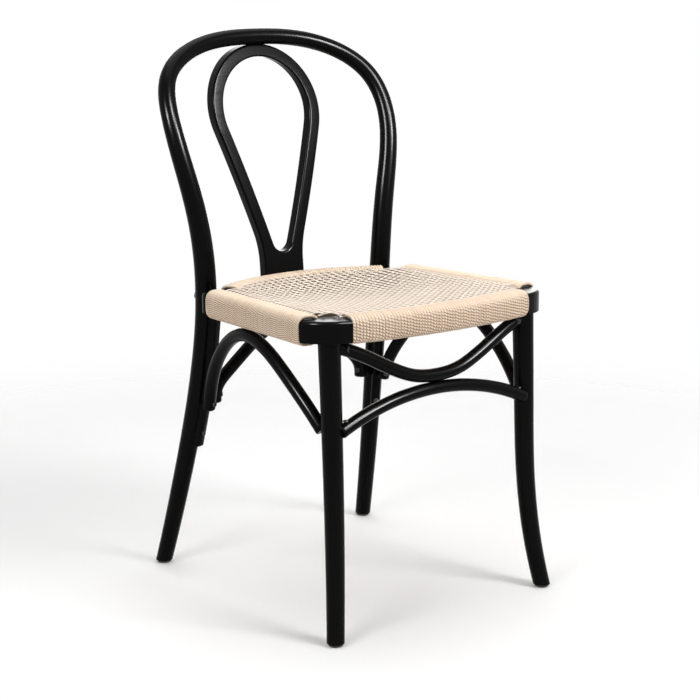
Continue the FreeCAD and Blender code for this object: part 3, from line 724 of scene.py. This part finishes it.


# Cord wound round the four rails, turn beside turn
# deep, edge and facing place painted shade on each turn's sides and inner face, where turns press together
# round the rail
wrapCord = {"pitch": 5.0, "dia": 5.1, "flat": 1.0, "deep": 0.75, "edge": 0.50, "facing": 1, "sides": 8,
            "cornerSteps": 4, "jitter": 0.25, "scatter": 0.3, "twist": 1.0}
sideCord = {**wrapCord, "scatter": 1.0, "twist": 1.5}
frontCentre = Vector((0, seat["frontApex"] + seat["frontRadius"], 0))
rearCentre = Vector((0, seat["rearApex"] - seat["rearRadius"], 0))
frontAngle = math.asin(chair["frontHalf"] / seat["frontRadius"])
rearAngle = math.asin(seat["rearHalf"] / seat["rearRadius"])
rearTurnAngle = math.asin(seat["rearTurnHalf"] / seat["rearRadius"])
sideSlope = (seat["sideRear"][0] - seat["sideFront"][0]) / (seat["sideRear"][1] - seat["sideFront"][1])
sideWay = Vector((sideSlope, 1, 0)).normalized()
sideOut = Vector((sideWay.y, -sideWay.x, 0))


def sidePoint(y, inset):
    return Vector((seat["sideFront"][0] + sideSlope * (y - seat["sideFront"][1]), y, 0)) - sideOut * inset


def turnLoop(width, height, radius):
    w = width / 2 - radius
    h = height / 2 - radius
    bend = seat["bevel"] - radius
    turn = []
    for quarter, (sx, sz) in enumerate([(1, 1), (-1, 1), (-1, -1), (1, -1)]):
        for step in range(wrapCord["cornerSteps"] + 1):
            a = math.pi / 2 * (quarter + step / wrapCord["cornerSteps"])
            turn.append((sx * (w - bend) + bend * math.cos(a), sz * (h - bend) + bend * math.sin(a)))
    return turn


def arcTurns(centre, radius, halfAngle, facing):
    count = round(2 * halfAngle * radius / wrapCord["pitch"])
    places = []
    for i in range(count):
        a = halfAngle * (2 * (i + 0.5) / count - 1)
        out = Vector((math.sin(a), facing * math.cos(a), 0))
        places.append((centre + out * (radius - seat["wrapWidth"] / 2) + up * seat["wrapMid"], out))
    return places


def sideTurns(hand):
    start = sidePoint(seat["sideStart"], seat["wrapWidth"] / 2)
    run = sidePoint(seat["sideEnd"], seat["wrapWidth"] / 2) - start
    count = round(run.length / wrapCord["pitch"])
    places = []
    for i in range(count):
        middle = start + run * ((i + 0.5) / count) + up * seat["sideMid"]
        out = Vector((hand * sideOut.x, sideOut.y, 0))
        places.append((Vector((hand * middle.x, middle.y, middle.z)), out))
    return places


def wrapPiece(name, places, height, size, node):
    radius = wrapCord["dia"] / 2
    paths = []
    for middle, out in places:
        swell = draw.uniform(-1, 1) * wrapCord["jitter"]
        along = out.cross(up)
        lean = along * draw.uniform(-1, 1) * wrapCord["jitter"]
        turn = turnLoop(seat["wrapWidth"] + swell, height + swell, radius)
        paths.append([middle + lean * (b / height) + out * a + up * b for a, b in turn])
    thing = cordMesh(name, paths, size, [middle for middle, out in places])
    finishPiece(thing, woundCord, "paper_cord", node)
    print("made", name, len(paths), "turns")


frontPlaces = arcTurns(frontCentre, seat["frontRadius"], frontAngle, -1)
rearPlaces = arcTurns(rearCentre, seat["rearRadius"], rearTurnAngle, 1)
wrapPiece("frontTurns", frontPlaces, seat["wrapHeight"], wrapCord, "front_cord_wrap")
wrapPiece("rearTurns", rearPlaces, seat["wrapHeight"], wrapCord, "rear_cord_wrap")
wrapPiece("rightTurns", sideTurns(1), seat["sideHeight"], sideCord, "right_cord_wrap")
wrapPiece("leftTurns", sideTurns(-1), seat["sideHeight"], sideCord, "left_cord_wrap")

# Woven field: rows run side to side and columns front to back, each a pair of cords, dished in the middle
# deep, edge and facing paint shade on the lower half of each field strand
field = {"columns": 26, "rows": 29, "dia": 2.7, "flat": 0.30, "deep": 1.0, "edge": -0.1, "facing": 1,
         "sides": 8, "steps": 6, "lift": 0.14, "rim": 465.9, "dish": 12.0, "lowest": 0.64, "inset": 40.0,
         "frontInset": 27.0, "grip": 15.0, "dive": 3.0, "tuck": 3.0, "scatter": 1.0, "twist": 1.0,
         "blockClear": 6.0, "blockLap": 1.5, "startY": -30.0, "sweeps": 5}
# deep, edge and facing paint shade on the upper side of the underside cords, inside the seat
under = {"pitch": 5.2, "dia": 5.0, "flat": 1.0, "deep": 0.9, "edge": 0.4, "facing": -1, "sides": 6,
         "steps": 8, "height": 430.5, "inset": 30.0, "scatter": 1.0, "twist": 1.0}


def frontEdge(x, inset):
    inset += field["frontInset"] - field["inset"]
    return frontCentre.y - math.sqrt((seat["frontRadius"] - inset) ** 2 - x * x)


def rearCorner(inset):
    return rearCentre + Vector((math.sin(rearAngle), math.cos(rearAngle), 0)) * (seat["rearRadius"] - inset)


def rearEdge(x, inset):
    corner = rearCorner(inset)
    if abs(x) < corner.x:
        return rearCentre.y + math.sqrt((seat["rearRadius"] - inset) ** 2 - x * x)
    far = sidePoint(seat["sideEnd"], inset)
    return corner.y + (far.y - corner.y) * (abs(x) - corner.x) / (far.x - corner.x)


def sideEdge(y, inset):
    return sidePoint(y, inset).x


def fieldSpot(u, t, inset):
    x, y = 0.0, field["startY"]
    for sweep in range(field["sweeps"]):
        x = u * sideEdge(y, inset)
        y = frontEdge(x, inset) + t * (rearEdge(x, inset) - frontEdge(x, inset))
    return x, y


def overWrap(x, y, alongRows, first):
    clear = field["blockClear"]
    if alongRows:
        return seat["sideStart"] + clear < y < seat["sideEnd"] - clear
    if first:
        return abs(x) < chair["frontHalf"] - clear
    return abs(x) < rearCorner(field["inset"]).x


def dished(u, t):
    eased = within(t) ** (math.log(0.5) / math.log(field["lowest"]))
    return within(1 - u * u) * 4 * eased * (1 - eased)


def overBlock(place):
    clear = field["blockLap"]
    return abs(place.x) > chair["frontHalf"] + clear and place.y < seat["sideStart"] - clear


def strand(index, offset, alongRows):
    own, crossed = field["columns"], field["rows"]
    if alongRows:
        own, crossed = crossed, own
    level = (index + 0.5) / own

    def share(go):
        return (2 * go - 1, level) if alongRows else (2 * level - 1, go)

    first = Vector(fieldSpot(*share(0.0), field["inset"]))
    last = Vector(fieldSpot(*share(1.0), field["inset"]))
    grip = field["grip"] / (last - first).length
    held = (overWrap(*first, alongRows, True), overWrap(*last, alongRows, False))
    low = -grip if held[0] else 0.0
    high = 1.0 + grip if held[1] else 1.0
    steps = crossed * field["steps"]
    path = []
    for i in range(steps + 1):
        go = low + (high - low) * i / steps
        u, t = share(go)
        x, y = fieldSpot(u, t, field["inset"])
        inner = within(min(go, 1 - go) * crossed * 2)
        wave = math.cos(math.pi * (go * crossed - 0.5 + index)) * inner * (1 if alongRows else -1)
        hollow = dished(u / (1 + 2 * grip), (t + grip) / (1 + 2 * grip))
        loose = within(1 - go * crossed) * (not held[0]) + within(1 - (1 - go) * crossed) * (not held[1])
        past = max(0.0, -go, go - 1) / grip
        drop = field["dish"] * hollow + field["tuck"] * loose + field["dive"] * past
        z = field["rim"] + field["lift"] * wave - drop
        path.append(Vector((x, y + offset, z)) if alongRows else Vector((x + offset, y, z)))
    return [place for place in path if not overBlock(place)]


def strandPaths(alongRows):
    half = field["dia"] / 2
    count = field["rows"] if alongRows else field["columns"]
    return [strand(index, offset, alongRows) for index in range(count) for offset in (-half, half)]


def underPaths():
    low, high = frontEdge(0.0, field["inset"]), rearEdge(0.0, field["inset"])
    count = round((high - low) / under["pitch"])
    paths = []
    for i in range(count):
        path = []
        for k in range(under["steps"] + 1):
            u = 2 * k / under["steps"] - 1
            x, y = fieldSpot(u, (i + 0.5) / count, under["inset"])
            path.append(Vector((x, y, under["height"] + draw.uniform(-1, 1) * wrapCord["jitter"])))
        paths.append(path)
    return paths


rows = strandPaths(True)
columns = strandPaths(False)
crossings = underPaths()
rowPiece = cordMesh("fieldRows", rows, field)
columnPiece = cordMesh("fieldColumns", columns, field)
underPiece = cordMesh("fieldUnderside", crossings, under)
finishPiece(rowPiece, wovenCord, "paper_cord", "seat_weave")
finishPiece(columnPiece, wovenCord, "paper_cord")
finishPiece(underPiece, woundCord, "paper_cord")
print("field woven", len(rows), len(columns), len(crossings))

# White floor that fades into a white surround, soft light from both sides and above, and the camera
studio = {"floor": (0.95, 0.95, 0.95, 1), "floorSize": 6.0, "fadeStart": 0.8, "fadeEnd": 1.7,
          "floorRough": 0.9, "roughSpread": 0.05, "speckle": 30.0, "speckleDetail": 2.0, "gloss": 0.0,
          "fill": 0.36}
softBoxes = {"top": {"place": (0.3, 0.5, 3.0), "aim": (0.0, 0.0, 0.4), "size": 2.4, "power": 41.0},
             "left": {"place": (-3.2, -0.9, 2.3), "aim": (0.0, 0.0, 0.4), "size": 1.5, "power": 46.0},
             "right": {"place": (1.2, -3.1, 2.2), "aim": (0.0, 0.0, 0.4), "size": 1.5, "power": 86.0}}
glossCards = {"right": {"place": (1.2, -2.9, 2.3), "aim": (0.0, 0.0, 0.5), "size": 0.8, "power": 480.0},
              "left": {"place": (-3.2, -0.7, 2.2), "aim": (0.0, 0.0, 0.5), "size": 0.7, "power": 330.0},
              "high": {"place": (0.3, -2.4, 3.0), "aim": (0.0, 0.0, 0.5), "size": 0.9, "power": 420.0},
              "back": {"place": (1.9, 2.4, 1.25), "aim": (0.0, 0.0, 0.45), "size": 2.2, "power": 56.0}}
view = {"lens": 89.7, "sensor": 36.0, "eye": (-1.5919, -2.07903, 0.9332), "right": (0.7924, -0.6101, 0.0),
        "upward": (0.1309, 0.17, 0.9767), "look": (0.5959, 0.7739, -0.2145)}


def floorMaterial():
    material, shader, pen = newMaterial("paleFloor")
    place = pen.add("ShaderNodeTexCoord", out=3)
    distance = pen.add("ShaderNodeVectorMath", {"operation": "LENGTH"}, {0: place}, "Value")
    grain = noise(pen, place, studio["speckle"], studio["speckleDetail"])
    faded = smoothStep(pen, distance, studio["fadeStart"], studio["fadeEnd"])
    plug(pen, shader, "Roughness", studio["floorRough"] + studio["roughSpread"] * grain)
    plug(pen, shader, "Alpha", 1.0 + -1.0 * faded)
    shader.inputs["Base Color"].default_value = studio["floor"]
    shader.inputs["Specular IOR Level"].default_value = studio["gloss"]
    return material


clearSelection()
bpy.ops.mesh.primitive_plane_add(size=studio["floorSize"])
floor = bpy.context.object
floor.name = "studioFloor"
dress(floor, floorMaterial())

world = bpy.data.worlds.new("studio")
bpy.context.scene.world = world
world.use_nodes = True
world.node_tree.nodes.clear()
sky = Value(world.node_tree, None)
cameraRay = sky.add("ShaderNodeLightPath")
glossyRay = Value(sky.tree, cameraRay.socket.node.outputs["Is Glossy Ray"])
throughRay = Value(sky.tree, cameraRay.socket.node.outputs["Is Transmission Ray"])
seen = cameraRay + glossyRay + throughRay
white = sky.add("ShaderNodeBackground", {}, {"Color": (1, 1, 1, 1), "Strength": 1.0})
fill = sky.add("ShaderNodeBackground", {}, {"Color": (1, 1, 1, 1), "Strength": studio["fill"]})
shade = sky.add("ShaderNodeMixShader", {}, {0: seen, 1: fill, 2: white})
worldOut = world.node_tree.nodes.new("ShaderNodeOutputWorld")
world.node_tree.links.new(shade.socket, worldOut.inputs["Surface"])


def hangLamp(name, box):
    lamp = bpy.data.lights.new(name, "AREA")
    lamp.energy = box["power"]
    lamp.size = box["size"]
    holder = bpy.data.objects.new(name, lamp)
    holder.location = box["place"]
    aim = Vector(box["aim"]) - Vector(box["place"])
    holder.rotation_euler = aim.to_track_quat("-Z", "Y").to_euler()
    holder.visible_camera = False
    bpy.context.scene.collection.objects.link(holder)
    return holder


# The cards show only as highlights in the lacquer
for name, box in softBoxes.items():
    hangLamp(name + "Softbox", box)
for name, box in glossCards.items():
    hangLamp(name + "Card", box).visible_diffuse = False

lens = bpy.data.cameras.new("photoCamera")
lens.lens = view["lens"]
lens.sensor_width = view["sensor"]
camera = bpy.data.objects.new("photoCamera", lens)
axes = Matrix((view["right"], view["upward"], [-a for a in view["look"]])).transposed()
camera.matrix_world = Matrix.Translation(view["eye"]) @ axes.to_4x4()
bpy.context.scene.collection.objects.link(camera)
bpy.context.scene.camera = camera
bpy.context.scene.view_settings.view_transform = "Standard"
